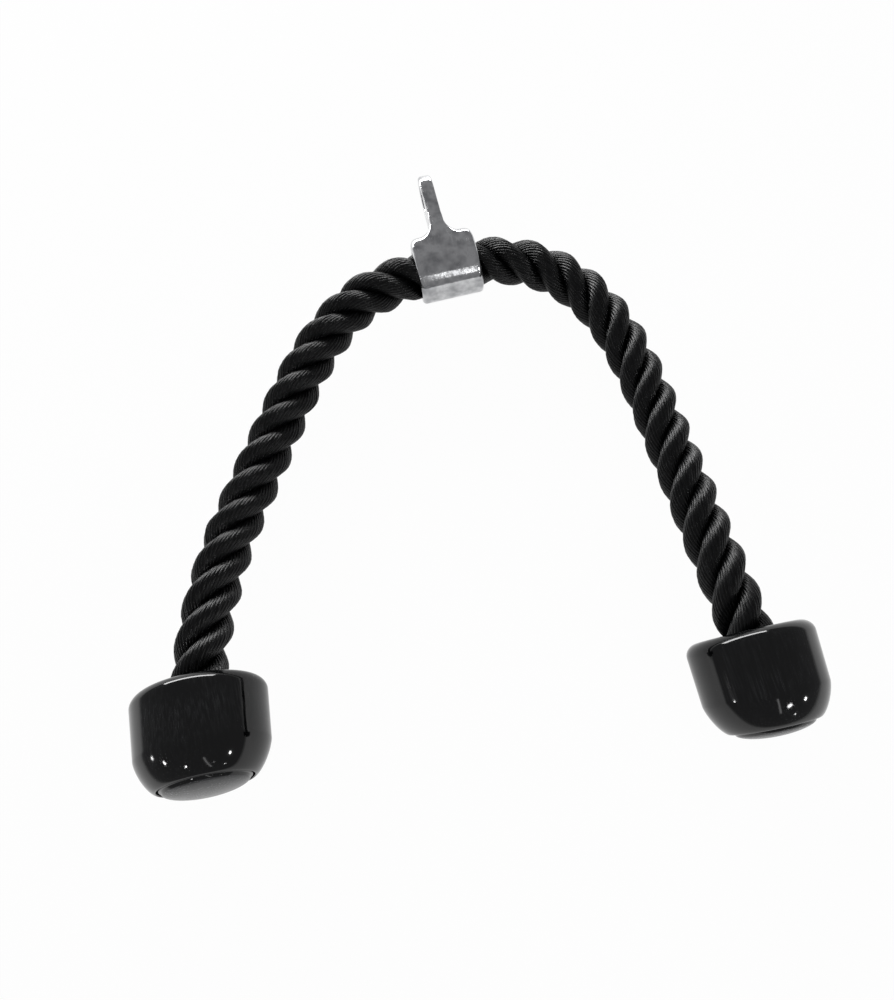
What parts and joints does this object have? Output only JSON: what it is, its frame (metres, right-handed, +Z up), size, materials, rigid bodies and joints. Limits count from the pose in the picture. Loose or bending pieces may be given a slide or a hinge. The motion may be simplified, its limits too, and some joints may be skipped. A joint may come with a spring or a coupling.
{
  "type": "triceps rope attachment",
  "caption": "Thick three-strand pull rope with a cast eye connector at its middle and a round stopper cap on each end, for a cable machine.",
  "frame": {"origin": "middle of the part's outline in plan, on the table that the caps and the connector rest on", "axes": "+X along the connector's sleeve from the left arm to the right arm, +Y from the sleeve to the eye, +Z up"},
  "size_m": [0.3228, 0.3512, 0.0643],
  "materials": {
    "chrome": "polished chrome plate, front satin",
    "rope": "laid black polypropylene fibre",
    "cap": "gloss black moulding",
    "plug": "satin black moulding",
    "steel": "plain zinc-plated steel"
  },
  "bodies": {
    "connector": {"connector": "chrome", "core_strand_1": "rope", "core_strand_2": "rope", "core_strand_3": "rope"},
    "left_arm": {"left_strand_1": "rope", "left_strand_2": "rope", "left_strand_3": "rope", "left_cap": "cap", "left_end_plug": "plug", "left_ferrule": "steel", "left_stop_washer": "steel", "left_wedge_screw": "steel"},
    "right_arm": {"right_strand_1": "rope", "right_strand_2": "rope", "right_strand_3": "rope", "right_cap": "cap", "right_end_plug": "plug", "right_ferrule": "steel", "right_stop_washer": "steel", "right_wedge_screw": "steel"}
  },
  "joints": [
    {"name": "left_arm_swing", "type": "hinge", "parent": "connector", "child": "left_arm", "pos_m": [0.01961, 0.11359, 0.0168], "axis": [0, 0, 1], "range_deg": [-40, 20], "deforming": ["left_strand_1", "left_strand_2", "left_strand_3"]},
    {"name": "right_arm_swing", "type": "hinge", "parent": "connector", "child": "right_arm", "pos_m": [0.05561, 0.11359, 0.0168], "axis": [0, 0, 1], "range_deg": [-20, 40], "deforming": ["right_strand_1", "right_strand_2", "right_strand_3"]}
  ]
}
